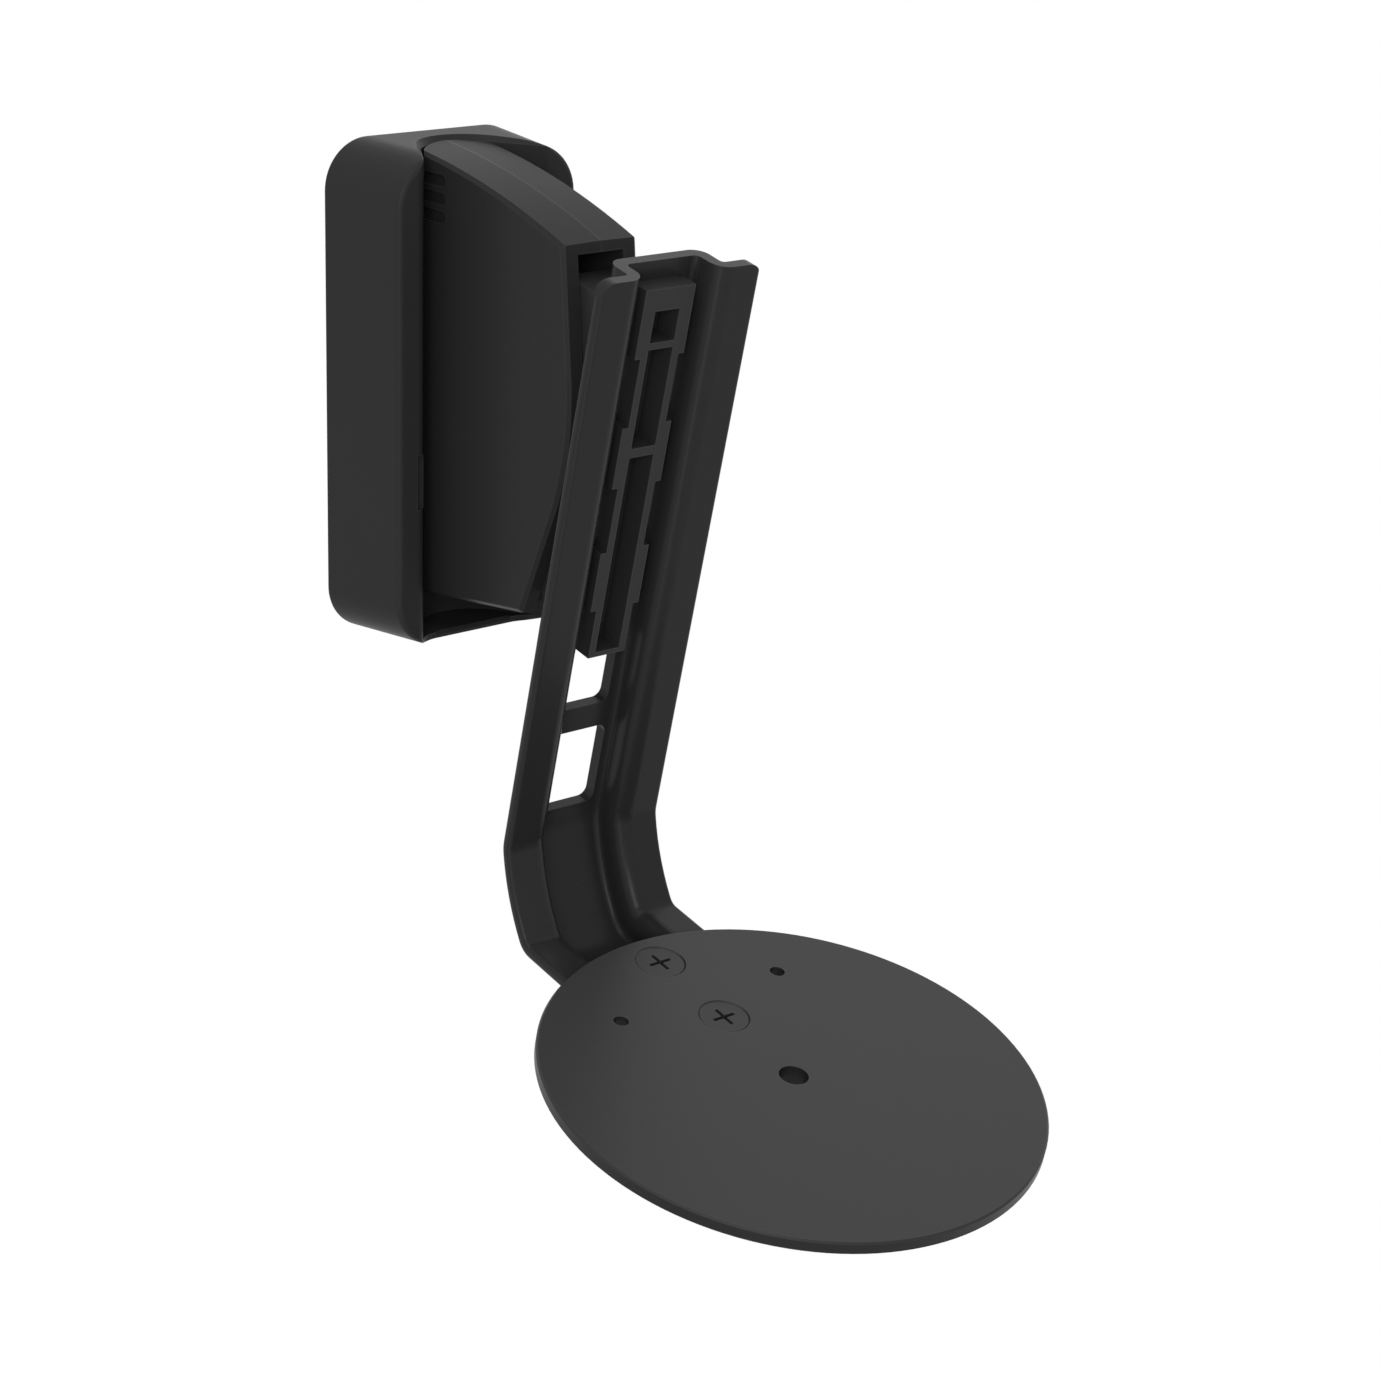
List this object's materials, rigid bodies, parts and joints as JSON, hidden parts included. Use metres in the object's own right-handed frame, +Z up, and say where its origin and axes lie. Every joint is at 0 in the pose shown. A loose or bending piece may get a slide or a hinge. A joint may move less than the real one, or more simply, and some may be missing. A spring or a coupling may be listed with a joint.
{
  "type": "speaker wall bracket",
  "caption": "Wall bracket for a small speaker: a covered wall plate, a swivelling and tilting joint body, a channel arm bent at the foot and a round seat plate.",
  "frame": {"origin": "the wall plane at the middle of the wall plate", "axes": "+Y into the wall, +Z up, +X to the right for someone who faces the wall"},
  "size_m": [0.11, 0.1884, 0.1953],
  "materials": {
    "cover_plastic": "fine matt texture",
    "housing_plastic": "fine matt texture",
    "carrier_plastic": "matt",
    "arm_paint": "matt powder coat",
    "plate_paint": "matt powder coat",
    "wall_plate_steel": "matt powder coat",
    "screw_black": "black oxide",
    "steel": "zinc plated",
    "bush_brass": "turned"
  },
  "bodies": {
    "wall": {"wall_plate": "wall_plate_steel", "wall_cover": "cover_plastic", "swivel_bush_upper": "bush_brass", "swivel_bush_lower": "bush_brass"},
    "swivel_body": {"housing_left": "housing_plastic", "housing_right": "housing_plastic", "housing_screws": "steel", "swivel_bolt": "steel", "swivel_nut": "steel", "swivel_washers": "steel", "swivel_springs": "steel", "tilt_pin": "steel", "tilt_springs": "steel"},
    "tilt_arm": {"tilt_carrier": "carrier_plastic", "tilt_friction_discs": "carrier_plastic", "arm": "arm_paint", "speaker_plate": "plate_paint", "plate_screws": "screw_black", "plate_inserts": "bush_brass"}
  },
  "joints": [
    {"name": "swivel", "type": "hinge", "parent": "wall", "child": "swivel_body", "pos_m": [0, -0.0193, 0], "axis": [0, 0, 1], "range_deg": [-35, 35]},
    {"name": "tilt", "type": "hinge", "parent": "swivel_body", "child": "tilt_arm", "pos_m": [0, -0.038, 0], "axis": [1, 0, 0], "range_deg": [-12.7, 12.3]}
  ]
}
